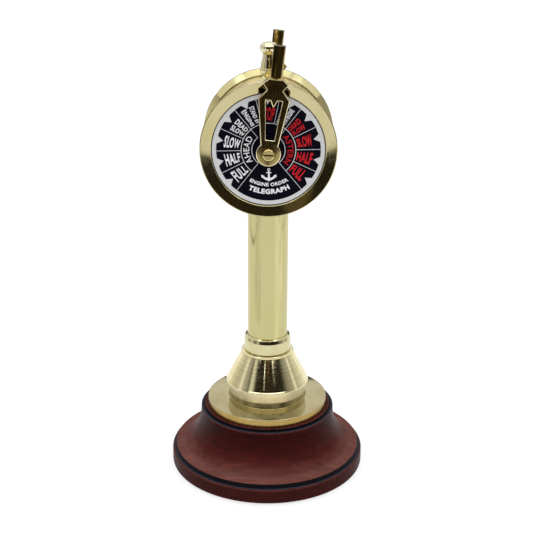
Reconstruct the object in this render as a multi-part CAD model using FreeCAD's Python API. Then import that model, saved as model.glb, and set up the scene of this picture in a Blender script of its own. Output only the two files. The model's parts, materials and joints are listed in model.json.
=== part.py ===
import FreeCAD, Part

import math
import os

# Table-top ship engine telegraph. Millimetres, +Z up, the front dial faces -Y.
# The origin is the middle of the footprint, on the surface that it stands on.

# Driving dimensions
TUBE_R = 13.0            # 26 mm tube
TUBE_WALL = 1.2
TUBE_FOOT_Z = 58.0
TUBE_TOP_Z = 188.4
AXIS_Z = 219.6           # height of the lever shaft and of the drum's middle

ROD_R = 3.0              # M6 tie rod
ROD_CLEAR_R = 3.2
M6_ACROSS_FLATS = 10.0
M6_NUT_H = 5.0
STUD_R = 2.0             # M4 finial stud and lever screws
M4_ACROSS_FLATS = 7.0
M4_NUT_H = 3.2

FELT_R = 60.5
FELT_T = 0.8
BASE_R = 64.0
BASE_TOP_Z = 41.9
BASE_TOP_R = 41.6
PLINTH_TOP_Z = 10.2
COVE_FOOT = (61.3, 13.1)
COVE_HEAD = (44.1, 39.6)
POCKET_R = 11.0          # counterbore for the tie rod's lower nut
POCKET_TOP_Z = 9.8
WASHER_R = 9.5
WASHER_T = 1.5

FLANGE_R = 39.4
FLANGE_TOP_Z = 46.8      # at the rim, from which the top rises towards the neck
NECK_R = 25.6
NECK_FOOT_Z = 47.7
NECK_TOP_Z = 51.9
SPIGOT_R = 18.0
SPIGOT_H = 3.0
BAND_TOP = (27.25, 58.9)
CONE_TOP = (17.2, 78.6)  # where the cone meets the upright lip on its top
COLLAR_R = 15.3
COLLAR_FOOT_Z = 80.4
COLLAR_TOP_Z = 91.4

SHELL_R = 37.2
SHELL_WALL = 1.0
SHELL_END = 22.3         # half length of the drum shell
BEZEL_R = 41.45
BEZEL_IN_R = 34.45
BEZEL_FRONT = 24.7       # distance of the rim from the drum's middle plane
BEZEL_DISH = 0.8         # how much deeper the bezel's inner edge lies
BEZEL_LIP = 0.7          # rounding of that inner edge
BEZEL_BACK = 21.7        # back edge of the rim, from which the back slopes down to the shell
BEZEL_FOOT = 19.7
DIAL_R = 36.7
DIAL_T = 0.8
PLATE_T = 2.0

SHAFT_R = 3.0
RUNNING = 0.05           # radial clearance of a shaft in its bush
SIDE_GAP = 0.3           # end clearance beside a turning piece
BUSH_R = 4.5
BUSH_FLANGE_R = 6.5
BUSH_FLANGE_T = 1.5
BUSH_END = 23.4
SPACER_R = 4.8
LEVER_BACK = 31.0
LEVER_T = 3.0
LEVER_TILT = 5.55        # degrees clockwise, seen from the front
LEVER_EDGE = 0.5         # chamfer on the plate's front edges
BAR_CUT_W = 1.2          # width and depth of the flats along the grip's long edges
BAR_CUT_D = 0.5
FLAT = 2.3               # distance of the shaft's drive flat from its axis
SCREW_HEAD_R = 3.62
SCREW_HEAD_H = 2.4
SCREW_SLOT_W = 0.9
SCREW_SLOT_D = 1.0
SCREW_TILT = 4.0
SHANK_LEN = 8.0

ORDERS = 14              # the circle holds 14 equal sectors, three of them merged below
STOP_OFFSET = 6.7        # the lever stands this far past the middle of the stop sector
WHEEL_R = 10.0
WHEEL_NOTCH = 1.2
WHEEL_T = 4.0
WHEEL_HUB_R = 5.5
WHEEL_HUB_T = 5.0
GRUB_R = 1.5
LEAF_T = 0.5
LEAF_X = 13.0
LEAF_TOP_Z = 226.0
NOSE_GAP = 0.35

GONG_R = 13.0
GONG_WALL = 1.0
GONG_TOP_Z = 247.2
GONG_RIM_Z = 236.4
STUD_END_Z = 242.4
FINIAL_NUT_TOP_Z = 255.5

PIVOT = (-17.0, 214.0)   # striker pivot, x and z
PIVOT_R = 1.5
POST_R = 2.6
ARM_T = 3.0
ARM_W = 2.0
HAMMER = (-15.5, 238.0)
HAMMER_R = 2.0
TAIL = (-10.6, 218.4)
SPRING_WIRE_R = 0.3
SPRING_TURNS = 5

FRONT = 1                # side signs for pieces turned about the shaft's axis
REAR = -1
X = FreeCAD.Vector(1, 0, 0)
Y = FreeCAD.Vector(0, 1, 0)
Z = FreeCAD.Vector(0, 0, 1)


def vec(x, y, z):
    return FreeCAD.Vector(x, y, z)


def edge_to(start, step):
    """Edge from start along one step of an outline, and the point where it ends.

    A step is a corner (r, z), an arc ((r, z) on it, (r, z) at its end), or a list of points
    of a smooth curve.
    """
    if isinstance(step, list):
        curve = Part.BSplineCurve()
        curve.interpolate([vec(start[0], 0, start[1])] + [vec(r, 0, z) for r, z in step])
        return curve.toShape(), step[-1]
    if isinstance(step[0], tuple):
        ends = [vec(r, 0, z) for r, z in (start, step[0], step[1])]
        return Part.Arc(*ends).toShape(), step[1]
    return Part.makeLine(vec(start[0], 0, start[1]), vec(step[0], 0, step[1])), step


def outline(steps):
    """Closed wire in the XZ plane through the steps, the first of which is a corner."""
    edges = []
    here = steps[0]
    for step in steps[1:] + [steps[0]]:
        edge, here = edge_to(here, step)
        edges.append(edge)
    return Part.Wire(edges)


def turned(steps):
    """Solid of revolution about Z from an (r, z) outline."""
    return Part.Face(outline(steps)).revolve(vec(0, 0, 0), Z, 360)


def ring(r_out, r_in, z_low, z_high):
    disc = Part.makeCylinder(r_out, z_high - z_low, vec(0, 0, z_low))
    if r_in == 0:
        return disc
    return disc.cut(Part.makeCylinder(r_in, z_high - z_low, vec(0, 0, z_low)))


def hex_nut(across_flats, hole_r, z_low, height):
    corner = across_flats / math.sqrt(3)
    turns = [i * math.pi / 3 for i in range(7)]
    points = [vec(corner * math.cos(a), corner * math.sin(a), z_low) for a in turns]
    body = Part.Face(Part.makePolygon(points)).extrude(vec(0, 0, height))
    body = body.common(turned([(0, z_low), (corner - 0.4, z_low), (corner, z_low + 0.35),
                               (corner, z_low + height - 0.35), (corner - 0.4, z_low + height),
                               (0, z_low + height)]))
    return body.cut(Part.makeCylinder(hole_r, height, vec(0, 0, z_low)))


def on_shaft(shape, side):
    """Turn a piece made about Z so that its Z runs out of the drum's front or rear."""
    placed = shape.copy()
    placed.rotate(vec(0, 0, 0), X, 90 * side)
    placed.translate(vec(0, 0, AXIS_Z))
    return placed


def tilted(shape):
    """Turn a piece of the lever set from upright to where it rests."""
    placed = shape.copy()
    placed.rotate(vec(0, 0, AXIS_Z), Y, LEVER_TILT)
    return placed


def plate_xz(steps, y_low, y_high):
    """Flat piece: an outline in the XZ plane given thickness along Y."""
    face = Part.Face(outline(steps))
    face.translate(vec(0, y_low, 0))
    return face.extrude(vec(0, y_high - y_low, 0))


# Wooden base and what clamps the column to it

def base_felt():
    return ring(FELT_R, 0, 0, FELT_T)


def cove_curve(count=7):
    """Quarter ellipse, level where it starts at the plinth and upright where it ends below the top ring."""
    reach = COVE_FOOT[0] - COVE_HEAD[0]
    rise = COVE_HEAD[1] - COVE_FOOT[1]
    angles = [math.pi / 2 * i / count for i in range(1, count + 1)]
    return [(COVE_FOOT[0] - reach * math.sin(a), COVE_HEAD[1] - rise * math.cos(a)) for a in angles]


def wood_base():
    low = FELT_T
    steps = [(ROD_CLEAR_R, POCKET_TOP_Z), (POCKET_R, POCKET_TOP_Z), (POCKET_R, low),
             (BASE_R - 0.8, low), ((BASE_R - 0.2, low + 0.3), (BASE_R, low + 1.0)),
             (BASE_R - 0.1, PLINTH_TOP_Z - 0.8),
             ((BASE_R - 0.25, PLINTH_TOP_Z - 0.2), (BASE_R - 0.8, PLINTH_TOP_Z)),
             ((COVE_FOOT[0] + 0.2, PLINTH_TOP_Z + 0.9), (COVE_FOOT[0] + 0.4, COVE_FOOT[1] - 0.4)),
             COVE_FOOT, cove_curve(),
             ((COVE_HEAD[0] - 0.9, COVE_HEAD[1] + 0.7), (BASE_TOP_R + 0.2, BASE_TOP_Z - 1.8)),
             (BASE_TOP_R, BASE_TOP_Z - 0.7),
             ((BASE_TOP_R - 0.2, BASE_TOP_Z - 0.2), (BASE_TOP_R - 0.7, BASE_TOP_Z)),
             (ROD_CLEAR_R, BASE_TOP_Z)]
    return turned(steps)


def clamp_washer():
    return ring(WASHER_R, ROD_CLEAR_R, POCKET_TOP_Z - WASHER_T, POCKET_TOP_Z)


def clamp_nut():
    return hex_nut(M6_ACROSS_FLATS, ROD_R, POCKET_TOP_Z - WASHER_T - M6_NUT_H, M6_NUT_H)


def plug_top():
    return TUBE_TOP_Z + 2.0


def tie_rod():
    low = POCKET_TOP_Z - WASHER_T - M6_NUT_H - 1.0
    high = plug_top() + LEAF_T + M6_NUT_H + 0.8
    return turned([(0, low), (ROD_R - 0.6, low), (ROD_R, low + 0.6),
                   (ROD_R, high - 0.6), (ROD_R - 0.6, high), (0, high)])


# Brass column

def foot_flange():
    return turned([(ROD_CLEAR_R, BASE_TOP_Z), (FLANGE_R - 0.4, BASE_TOP_Z),
                   (FLANGE_R, BASE_TOP_Z + 0.4), (FLANGE_R, FLANGE_TOP_Z - 0.5),
                   ((FLANGE_R - 0.15, FLANGE_TOP_Z - 0.15), (FLANGE_R - 0.5, FLANGE_TOP_Z)),
                   (NECK_R, NECK_FOOT_Z), (NECK_R, NECK_TOP_Z), (SPIGOT_R, NECK_TOP_Z),
                   (SPIGOT_R, NECK_TOP_Z + SPIGOT_H), (ROD_CLEAR_R, NECK_TOP_Z + SPIGOT_H)])


def pedestal_cone():
    band_foot_r = NECK_R + 0.15
    lip_r = CONE_TOP[0]
    return turned([(SPIGOT_R, NECK_TOP_Z), (band_foot_r, NECK_TOP_Z), BAND_TOP, CONE_TOP,
                   (lip_r, COLLAR_FOOT_Z - 0.7),
                   ((lip_r - 0.2, COLLAR_FOOT_Z - 0.2), (lip_r - 0.7, COLLAR_FOOT_Z)),
                   (TUBE_R, COLLAR_FOOT_Z), (TUBE_R, TUBE_FOOT_Z),
                   (ROD_CLEAR_R, TUBE_FOOT_Z), (ROD_CLEAR_R, NECK_TOP_Z + SPIGOT_H),
                   (SPIGOT_R, NECK_TOP_Z + SPIGOT_H)])


def column_collar():
    shoulder_z = COLLAR_TOP_Z - 2.3
    return turned([(TUBE_R, COLLAR_FOOT_Z), (COLLAR_R - 0.2, COLLAR_FOOT_Z),
                   (COLLAR_R, COLLAR_FOOT_Z + 0.2), (COLLAR_R - 0.1, shoulder_z),
                   ((COLLAR_R - 0.3, shoulder_z + 1.3), (COLLAR_R - 0.85, COLLAR_TOP_Z - 0.2)),
                   (TUBE_R + 0.36, COLLAR_TOP_Z), (TUBE_R, COLLAR_TOP_Z - 0.1)])


def column_tube():
    return ring(TUBE_R, TUBE_R - TUBE_WALL, TUBE_FOOT_Z, TUBE_TOP_Z)


def column_plug():
    bore_r = TUBE_R - TUBE_WALL
    return turned([(ROD_CLEAR_R, TUBE_TOP_Z - 7.0), (bore_r - 0.5, TUBE_TOP_Z - 7.0),
                   (bore_r, TUBE_TOP_Z - 6.5), (bore_r, TUBE_TOP_Z), (TUBE_R, TUBE_TOP_Z),
                   (TUBE_R, plug_top()), (ROD_CLEAR_R, plug_top())])


def column_nut():
    return hex_nut(M6_ACROSS_FLATS, ROD_R, plug_top() + LEAF_T, M6_NUT_H)


# Drum

def drum_shell():
    shell = on_shaft(ring(SHELL_R, SHELL_R - SHELL_WALL, -SHELL_END, SHELL_END), FRONT)
    below = Part.makeCylinder(TUBE_R, 20, vec(0, 0, TUBE_TOP_Z - 20))
    above = Part.makeCylinder(STUD_R, 10, vec(0, 0, AXIS_Z + SHELL_R - 5))
    return shell.cut(below).cut(above)


def bezel(side):
    lip = BEZEL_FRONT - BEZEL_DISH
    rounding = ((BEZEL_IN_R + 0.3 * BEZEL_LIP, lip - 0.3 * BEZEL_LIP), (BEZEL_IN_R + BEZEL_LIP, lip))
    steps = [(BEZEL_IN_R, SHELL_END + DIAL_T), (BEZEL_IN_R, lip - BEZEL_LIP), rounding,
             (BEZEL_R - 0.6, BEZEL_FRONT),
             ((BEZEL_R - 0.18, BEZEL_FRONT - 0.15), (BEZEL_R, BEZEL_FRONT - 0.6)),
             (BEZEL_R, BEZEL_BACK + 0.4), (BEZEL_R - 0.4, BEZEL_BACK), (SHELL_R, BEZEL_FOOT),
             (SHELL_R, SHELL_END), (DIAL_R, SHELL_END), (DIAL_R, SHELL_END + DIAL_T)]
    return on_shaft(turned(steps), side)


def end_plate(side):
    return on_shaft(ring(SHELL_R - SHELL_WALL, BUSH_R, SHELL_END - PLATE_T, SHELL_END), side)


def dial(side):
    return on_shaft(ring(DIAL_R, BUSH_R, SHELL_END, SHELL_END + DIAL_T), side)


def bush(side):
    back = SHELL_END - PLATE_T
    bore_r = SHAFT_R + RUNNING
    steps = [(bore_r, back - BUSH_FLANGE_T), (BUSH_FLANGE_R, back - BUSH_FLANGE_T),
             (BUSH_FLANGE_R, back), (BUSH_R, back), (BUSH_R, BUSH_END), (bore_r, BUSH_END)]
    return on_shaft(turned(steps), side)


# Levers and their shaft

def drive_flat(y_low, y_high):
    """What the shaft's drive flat leaves away, beyond x = FLAT."""
    corner = vec(FLAT, y_low, AXIS_Z - 2 * SHAFT_R)
    return Part.makeBox(2 * SHAFT_R, y_high - y_low, 4 * SHAFT_R, corner)


def lever_shaft():
    end = LEVER_BACK + LEVER_T - 0.3
    rod = on_shaft(ring(SHAFT_R, 0, -end, end), FRONT)
    for side in (FRONT, REAR):
        rod = rod.cut(on_shaft(ring(STUD_R, 0, end + 0.3 - SHANK_LEN, end), side))
    rod = rod.cut(drive_flat(-end, -LEVER_BACK)).cut(drive_flat(LEVER_BACK, end))
    return tilted(rod)


def spacer(side):
    return tilted(on_shaft(ring(SPACER_R, SHAFT_R, BUSH_END + SIDE_GAP, LEVER_BACK), side))


def mirrored(half):
    """Outline through the right half's corners, listed upwards, and their mirror images."""
    return half + [(-x, z) for x, z in reversed(half)]


def lever_plate():
    """The flat casting: round hub, two legs round a window, shoulders, waist and wings."""
    up = AXIS_Z
    corners = [(5.2, up + 5.0), (9.2, up + 32.6), (4.7, up + 38.0), (7.5, up + 41.7),
               (3.4, up + 45.0), (3.4, up + 47.0)]
    plate = plate_xz(mirrored(corners), -LEVER_BACK - LEVER_T, -LEVER_BACK)
    hub = on_shaft(ring(7.4, 0, LEVER_BACK, LEVER_BACK + LEVER_T), FRONT)
    plate = plate.fuse(hub).removeSplitter()
    front = [face for face in plate.Faces if abs(face.CenterOfMass.y + LEVER_BACK + LEVER_T) < 0.01]
    plate = plate.makeChamfer(LEVER_EDGE, front[0].Edges)
    return plate.cut(lever_window())


def lever_window():
    """Tapered slot in the plate, with a V that points down from its top edge."""
    up = AXIS_Z
    steps = [(-2.5, up + 8.6), (2.5, up + 8.6), (4.8, up + 31.9), (2.2, up + 31.9), (0, up + 27.9),
             (-2.2, up + 31.9), (-4.8, up + 31.9)]
    return plate_xz(steps, -LEVER_BACK - LEVER_T - 1, -LEVER_BACK + 1)


def lever_bar():
    """Grip at the lever's end: a bar deeper than the plate, with flats along its long edges."""
    half_w, half_d = 3.52, 2.5
    mid_y = -LEVER_BACK - LEVER_T / 2
    front_half = [(half_w, BAR_CUT_D - half_d), (half_w - BAR_CUT_W, -half_d),
                  (BAR_CUT_W - half_w, -half_d), (-half_w, BAR_CUT_D - half_d)]
    section = front_half + [(x, -y) for x, y in reversed(front_half)]
    foot = AXIS_Z + 44.2
    points = [vec(x, mid_y + y, foot) for x, y in section + section[:1]]
    return Part.Face(Part.makePolygon(points)).extrude(vec(0, 0, AXIS_Z + 63.9 - foot))


def lever(side):
    casting = lever_plate().fuse(lever_bar()).removeSplitter()
    bore = on_shaft(ring(SHAFT_R, 0, LEVER_BACK, LEVER_BACK + LEVER_T - 0.3), FRONT)
    bore = bore.cut(drive_flat(-LEVER_BACK - LEVER_T, -LEVER_BACK))
    screw_hole = on_shaft(ring(STUD_R, 0, LEVER_BACK, LEVER_BACK + LEVER_T), FRONT)
    casting = casting.cut(bore).cut(screw_hole)
    if side == REAR:
        casting = casting.mirror(vec(0, 0, 0), Y)
    return tilted(casting)


def lever_screw(side):
    """Slotted cheese-head screw."""
    under = LEVER_BACK + LEVER_T
    top = under + SCREW_HEAD_H
    screw = turned([(0, under - SHANK_LEN), (STUD_R, under - SHANK_LEN), (STUD_R, under),
                    (SCREW_HEAD_R, under), (SCREW_HEAD_R - 0.1, top - 0.6),
                    ((SCREW_HEAD_R - 0.3, top - 0.15), (SCREW_HEAD_R - 0.8, top)), (0, top)])
    screw.rotate(vec(0, 0, 0), Z, 90)
    slot = Part.makeBox(4 * SCREW_HEAD_R, SCREW_SLOT_W, 2 * SCREW_SLOT_D,
                        vec(-2 * SCREW_HEAD_R, -SCREW_SLOT_W / 2, top - SCREW_SLOT_D))
    slot.rotate(vec(0, 0, 0), Z, -SCREW_TILT)
    return on_shaft(screw.cut(slot), side)


# Click work and gong inside the drum

def click_wheel():
    """Notched wheel with one notch to each order, and a hub for its grub screw."""
    pitch = 2 * math.pi / ORDERS
    points = []
    for i in range(ORDERS):
        notch = i * pitch
        for angle, r in ((notch, WHEEL_R - WHEEL_NOTCH), (notch + 0.3 * pitch, WHEEL_R),
                         (notch + 0.7 * pitch, WHEEL_R)):
            points.append(vec(r * math.cos(angle), r * math.sin(angle), -WHEEL_T / 2))
    disc = Part.Face(Part.makePolygon(points + points[:1])).extrude(vec(0, 0, WHEEL_T))
    hub = ring(WHEEL_HUB_R, 0, -WHEEL_T / 2 - WHEEL_HUB_T, -WHEEL_T / 2)
    wheel = disc.fuse(hub).cut(ring(SHAFT_R, 0, -20, 20))
    wheel = wheel.cut(grub_hole())
    wheel.rotate(vec(0, 0, 0), Z, -STOP_OFFSET)
    return on_shaft(wheel, FRONT)


def grub_hole():
    return Part.makeCylinder(GRUB_R, WHEEL_HUB_R, vec(0, 0, -(WHEEL_T + WHEEL_HUB_T) / 2), Y)


def wheel_grub_screw():
    screw = grub_hole().common(ring(WHEEL_HUB_R, SHAFT_R, -20, 20))
    screw.rotate(vec(0, 0, 0), Z, -STOP_OFFSET)
    return on_shaft(screw, FRONT)


def click_spring():
    """Bent leaf: a foot under the tie rod's upper nut, and an upright with a V nose at the wheel."""
    foot_z = plug_top()
    nose_x = WHEEL_R + NOSE_GAP
    back = LEAF_X + LEAF_T
    steps = [(LEAF_X, foot_z + LEAF_T), (LEAF_X, AXIS_Z - 2.2), (nose_x, AXIS_Z), (LEAF_X, AXIS_Z + 2.2),
             (LEAF_X, LEAF_TOP_Z), (back, LEAF_TOP_Z), (back, AXIS_Z + 2.0), (nose_x + 0.75, AXIS_Z),
             (back, AXIS_Z - 2.0), (back, foot_z), (-6, foot_z), (-6, foot_z + LEAF_T)]
    leaf = plate_xz(steps, -WHEEL_T / 2, WHEEL_T / 2)
    pad = ring(6.0, 0, foot_z, foot_z + LEAF_T)
    return leaf.fuse(pad).removeSplitter().cut(Part.makeCylinder(ROD_R, 10, vec(0, 0, foot_z - 5)))


def finial():
    """Turned knob on the drum's top, with a stud that hangs the gong."""
    knob = turned([(0, STUD_END_Z), (STUD_R, STUD_END_Z), (STUD_R, 255.9), (5.4, 255.9), (5.4, 257.2),
                   ((5.3, 257.5), (5.0, 257.6)), (4.25, 257.6), (4.25, 260.2),
                   [(4.5, 260.7), (5.0, 261.4), (5.3, 262.2)], (5.3, 264.1),
                   ((5.25, 264.35), (5.0, 264.5)), (4.95, 264.6), (4.95, 264.8),
                   ((5.05, 264.95), (5.05, 265.2)),
                   [(4.55, 267.5), (4.1, 269.7), (3.7, 271.8), (3.5, 273.2)],
                   [(3.8, 273.6), (4.75, 274.8), (5.25, 276.8), (4.85, 278.8), (3.4, 280.1), (0, 280.6)]])
    shell = on_shaft(ring(SHELL_R, 0, -SHELL_END, SHELL_END), FRONT)
    inside = shell.cut(Part.makeCylinder(STUD_R, 60, vec(0, 0, AXIS_Z)))
    return knob.cut(inside)


def finial_nut():
    return hex_nut(M4_ACROSS_FLATS, STUD_R, FINIAL_NUT_TOP_Z - M4_NUT_H, M4_NUT_H)


def gong_spacer():
    return ring(3.4, STUD_R, GONG_TOP_Z, FINIAL_NUT_TOP_Z - M4_NUT_H)


def gong():
    """Round-shouldered dome, open below."""
    in_r = GONG_R - GONG_WALL
    in_top = GONG_TOP_Z - GONG_WALL
    return turned([(STUD_R, in_top), (4.0, in_top), ((9.8, GONG_TOP_Z - 3.3), (in_r, GONG_RIM_Z + 2.0)),
                   (in_r, GONG_RIM_Z), (GONG_R, GONG_RIM_Z), (GONG_R, GONG_RIM_Z + 2.6),
                   ((10.6, GONG_TOP_Z - 2.6), (4.4, GONG_TOP_Z)), (STUD_R, GONG_TOP_Z)])


def gong_nut():
    return hex_nut(M4_ACROSS_FLATS, STUD_R, GONG_TOP_Z - GONG_WALL - M4_NUT_H, M4_NUT_H)


def at_pivot(shape):
    """Turn a piece made about Z so that its Z runs to the rear along the striker's pivot."""
    placed = shape.copy()
    placed.rotate(vec(0, 0, 0), X, -90)
    placed.translate(vec(PIVOT[0], 0, PIVOT[1]))
    return placed


def blade(start, end, width):
    """Flat strip in the striker's plane between two points of the XZ plane."""
    dx, dz = end[0] - start[0], end[1] - start[1]
    reach = math.hypot(dx, dz)
    nx, nz = -dz / reach * width / 2, dx / reach * width / 2
    steps = [(start[0] + nx, start[1] + nz), (start[0] - nx, start[1] - nz), (end[0] - nx, end[1] - nz),
             (end[0] + nx, end[1] + nz)]
    return plate_xz(steps, -ARM_T / 2, ARM_T / 2)


def hammer_ball():
    return Part.makeSphere(HAMMER_R, vec(HAMMER[0], 0, HAMMER[1]))


def striker_arm():
    hub = at_pivot(ring(3.0, 0, -ARM_T / 2, ARM_T / 2))
    bore = at_pivot(ring(PIVOT_R + RUNNING, 0, -ARM_T, ARM_T))
    arm = hub.fuse(blade(PIVOT, HAMMER, ARM_W)).fuse(blade(PIVOT, TAIL, ARM_W)).removeSplitter()
    return arm.cut(bore).cut(hammer_ball())


def striker_hammer():
    return hammer_ball()


def striker_post():
    low = ARM_T / 2 + SIDE_GAP
    post = ring(POST_R, PIVOT_R, low, SHELL_END - PLATE_T)
    return at_pivot(post)


def striker_screw():
    """Shoulder screw that the striker turns on."""
    front = -ARM_T / 2 - SIDE_GAP
    return at_pivot(turned([(0, front - 1.4), (2.4, front - 1.4), (2.8, front - 1.0), (2.8, front),
                            (PIVOT_R, front), (PIVOT_R, 12.0), (0, 12.0)]))


def striker_spring():
    """Coil of spring wire round the striker's post."""
    low = ARM_T / 2 + SIDE_GAP + 1.0
    coil_r = POST_R + SPRING_WIRE_R
    pitch = 2.2
    helix = Part.makeHelix(pitch, pitch * SPRING_TURNS, coil_r)
    wire = Part.Wire(helix.Edges)
    profile = Part.Wire([Part.makeCircle(SPRING_WIRE_R, vec(coil_r, 0, 0), Y)])
    coil = wire.makePipeShell([profile], True, True)
    coil.translate(vec(0, 0, low))
    return at_pivot(coil)


PIECES = {
    "base_felt": base_felt,
    "wood_base": wood_base,
    "clamp_washer": clamp_washer,
    "clamp_nut": clamp_nut,
    "tie_rod": tie_rod,
    "foot_flange": foot_flange,
    "pedestal_cone": pedestal_cone,
    "column_collar": column_collar,
    "column_tube": column_tube,
    "column_plug": column_plug,
    "column_nut": column_nut,
    "drum_shell": drum_shell,
    "lever_shaft": lever_shaft,
    "click_wheel": click_wheel,
    "wheel_grub_screw": wheel_grub_screw,
    "click_spring": click_spring,
    "finial": finial,
    "finial_nut": finial_nut,
    "gong_spacer": gong_spacer,
    "gong": gong,
    "gong_nut": gong_nut,
    "striker_arm": striker_arm,
    "striker_hammer": striker_hammer,
    "striker_post": striker_post,
    "striker_screw": striker_screw,
    "striker_spring": striker_spring,
}

PAIRS = {
    "bezel": bezel,
    "end_plate": end_plate,
    "dial": dial,
    "bush": bush,
    "spacer": spacer,
    "lever": lever,
    "lever_screw": lever_screw,
}


def save(name, shape):
    shape.exportStep("parts/" + name + ".step")
    print(name, len(shape.Solids), shape.isValid(), round(shape.Volume, 1))


os.makedirs("parts", exist_ok=True)
for name, make in PIECES.items():
    save(name, make())
for name, make in PAIRS.items():
    save("front_" + name, make(FRONT))
    save("rear_" + name, make(REAR))
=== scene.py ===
"""Ship engine telegraph: the looks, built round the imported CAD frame.

Metres, +Z up, the front dial faces -Y. The pieces are drawn in millimetres, the camera and stage in metres.
"""
import json
import math

import bmesh
import bpy
from mathutils import Matrix, Vector


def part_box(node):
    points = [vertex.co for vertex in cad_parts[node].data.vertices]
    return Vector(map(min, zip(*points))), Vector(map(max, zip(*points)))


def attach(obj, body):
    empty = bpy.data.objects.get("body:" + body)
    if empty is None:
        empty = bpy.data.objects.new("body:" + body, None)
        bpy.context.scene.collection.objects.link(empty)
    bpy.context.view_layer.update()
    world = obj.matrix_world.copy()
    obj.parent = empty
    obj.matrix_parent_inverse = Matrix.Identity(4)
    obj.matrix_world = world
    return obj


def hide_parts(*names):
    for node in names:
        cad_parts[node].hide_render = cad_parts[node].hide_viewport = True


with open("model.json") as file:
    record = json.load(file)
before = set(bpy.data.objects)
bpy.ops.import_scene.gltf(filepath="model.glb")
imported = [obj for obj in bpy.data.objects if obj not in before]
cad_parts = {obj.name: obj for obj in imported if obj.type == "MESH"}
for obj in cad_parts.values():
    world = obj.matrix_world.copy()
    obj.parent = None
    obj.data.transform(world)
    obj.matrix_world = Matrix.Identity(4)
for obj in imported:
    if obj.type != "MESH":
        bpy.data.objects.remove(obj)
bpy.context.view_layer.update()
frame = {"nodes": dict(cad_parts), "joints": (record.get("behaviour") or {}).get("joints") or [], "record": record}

MM = 0.001
FRONT = 1
REAR = -1
ROUND = 256              # segments of a turned piece

LEVER_JOINT = [j for j in frame["joints"] if j["name"] == "lever_swing"][0]
AXIS_Z = LEVER_JOINT["pos_m"][2] / MM


def mm_box(node):
    """Lowest and highest corner of a CAD node, in millimetres."""
    low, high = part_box(node)
    return low / MM, high / MM


def radius_of(node):
    low, high = mm_box(node)
    return (high.x - low.x) / 2


# ------------------------------------ materials

def new_material(name):
    material = bpy.data.materials.new(name)
    material.use_nodes = True
    return material, material.node_tree, material.node_tree.nodes["Principled BSDF"]


def object_coords(tree, scale=(1, 1, 1)):
    """Object coordinates in millimetres, stretched by scale."""
    coords = tree.nodes.new("ShaderNodeTexCoord")
    mapping = tree.nodes.new("ShaderNodeMapping")
    mapping.inputs["Scale"].default_value = [s / MM for s in scale]
    tree.links.new(coords.outputs["Object"], mapping.inputs["Vector"])
    return mapping.outputs["Vector"]


def noise(tree, vector, scale, detail=3.0, roughness=0.5):
    """Noise whose features are about 1/scale millimetres across."""
    node = tree.nodes.new("ShaderNodeTexNoise")
    node.inputs["Scale"].default_value = scale
    node.inputs["Detail"].default_value = detail
    node.inputs["Roughness"].default_value = roughness
    tree.links.new(vector, node.inputs["Vector"])
    return node.outputs["Fac"]


def ramp(tree, factor, stops):
    """Colour ramp through (position, colour) stops. A colour may be one number."""
    node = tree.nodes.new("ShaderNodeValToRGB")
    elements = node.color_ramp.elements
    while len(elements) < len(stops):
        elements.new(0.5)
    for element, (position, colour) in zip(elements, stops):
        element.position = position
        element.color = (*colour, 1) if isinstance(colour, tuple) else (colour, colour, colour, 1)
    tree.links.new(factor, node.inputs["Fac"])
    return node.outputs["Color"]


def mixed(tree, factor, a, b, mode="MIX"):
    """Mix of two colours. Each of them, and the factor, is a socket or a value."""
    node = tree.nodes.new("ShaderNodeMix")
    node.data_type = "RGBA"
    node.blend_type = mode
    for socket, value in ((node.inputs[0], factor), (node.inputs[6], a), (node.inputs[7], b)):
        if isinstance(value, bpy.types.NodeSocket):
            tree.links.new(value, socket)
        elif isinstance(value, tuple):
            socket.default_value = (*value, 1)
        else:
            socket.default_value = value
    return node.outputs[2]


def maths(tree, operation, a, b=0.0):
    node = tree.nodes.new("ShaderNodeMath")
    node.operation = operation
    for socket, value in zip(node.inputs, (a, b)):
        if isinstance(value, bpy.types.NodeSocket):
            tree.links.new(value, socket)
        else:
            socket.default_value = value
    return node.outputs["Value"]


def spread(tree, factor, low, high, to_low, to_high):
    """Clamped map of factor from low..high to to_low..to_high."""
    node = tree.nodes.new("ShaderNodeMapRange")
    for name, value in (("From Min", low), ("From Max", high), ("To Min", to_low), ("To Max", to_high)):
        node.inputs[name].default_value = value
    tree.links.new(factor, node.inputs["Value"])
    return node.outputs["Result"]


def bump(tree, shader, height, distance):
    """Bump of that depth in millimetres, on top of what the shader's normal already has."""
    node = tree.nodes.new("ShaderNodeBump")
    node.inputs["Strength"].default_value = 1.0
    node.inputs["Distance"].default_value = distance * MM
    tree.links.new(height, node.inputs["Height"])
    if shader.inputs["Normal"].is_linked:
        tree.links.new(shader.inputs["Normal"].links[0].from_socket, node.inputs["Normal"])
    tree.links.new(node.outputs["Normal"], shader.inputs["Normal"])


def radial_coords(tree, axis):
    """(distance from the axis, distance along it) in millimetres, as a vector, for turning marks.

    The axis is "z" for the column, or "y" for the lever shaft.
    """
    coords = tree.nodes.new("ShaderNodeTexCoord")
    split = tree.nodes.new("ShaderNodeSeparateXYZ")
    tree.links.new(coords.outputs["Object"], split.inputs[0])
    if axis == "z":
        across, along = split.outputs["Y"], split.outputs["Z"]
    else:
        across = maths(tree, "SUBTRACT", split.outputs["Z"], AXIS_Z * MM)
        along = split.outputs["Y"]
    square = maths(tree, "MULTIPLY", split.outputs["X"], split.outputs["X"])
    square = maths(tree, "ADD", square, maths(tree, "MULTIPLY", across, across))
    join = tree.nodes.new("ShaderNodeCombineXYZ")
    tree.links.new(maths(tree, "SQRT", square), join.inputs["X"])
    tree.links.new(along, join.inputs["Z"])
    scale = tree.nodes.new("ShaderNodeVectorMath")
    scale.operation = "SCALE"
    scale.inputs["Scale"].default_value = 1 / MM
    tree.links.new(join.outputs["Vector"], scale.inputs[0])
    return scale.outputs["Vector"]


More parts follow.
